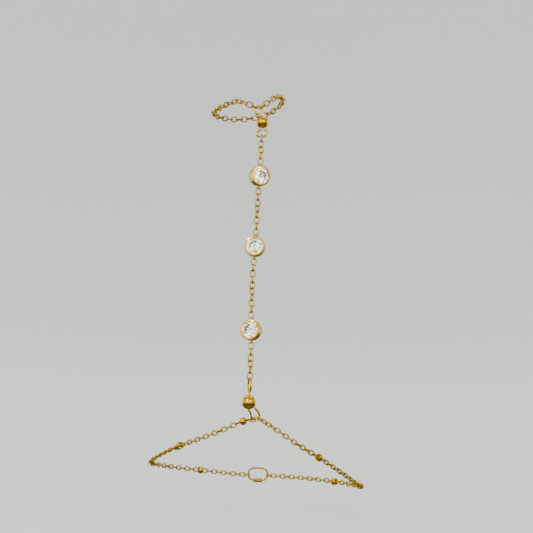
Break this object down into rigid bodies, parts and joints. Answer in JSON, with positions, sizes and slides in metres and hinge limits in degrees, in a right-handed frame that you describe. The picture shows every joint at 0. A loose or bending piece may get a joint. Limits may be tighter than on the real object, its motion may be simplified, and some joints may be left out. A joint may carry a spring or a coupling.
{
  "type": "hand chain bracelet",
  "caption": "Fine gold-tone hand chain: a finger loop and a wrist loop joined over the back of the hand by a strand with round bezel-set clear stones.",
  "frame": {"origin": "on the wrist's axis, level with the foot of the strand", "axes": "+Z towards the finger tips, -Y out of the back of the hand towards the viewer, +X to the viewer's right"},
  "size_m": [0.0674, 0.0501, 0.1236],
  "materials": {
    "gold": "polished",
    "crystal": "clear, faceted"
  },
  "bodies": {
    "root": {"finger_chain": "gold", "upper_pin": "gold", "upper_bead": "gold", "strand_chain_1": "gold", "setting_1": "gold", "crystal_1": "crystal", "strand_chain_2": "gold", "setting_2": "gold", "crystal_2": "crystal", "strand_chain_3": "gold", "setting_3": "gold", "crystal_3": "crystal", "strand_chain_4": "gold", "lower_pin": "gold", "lower_bead": "gold", "wrist_chain_left": "gold", "wrist_chain_right": "gold", "satellite_bead_1": "gold", "satellite_bead_2": "gold", "satellite_bead_3": "gold", "satellite_bead_4": "gold", "satellite_bead_5": "gold", "satellite_bead_6": "gold", "satellite_bead_7": "gold", "clasp": "gold"}
  },
  "joints": []
}
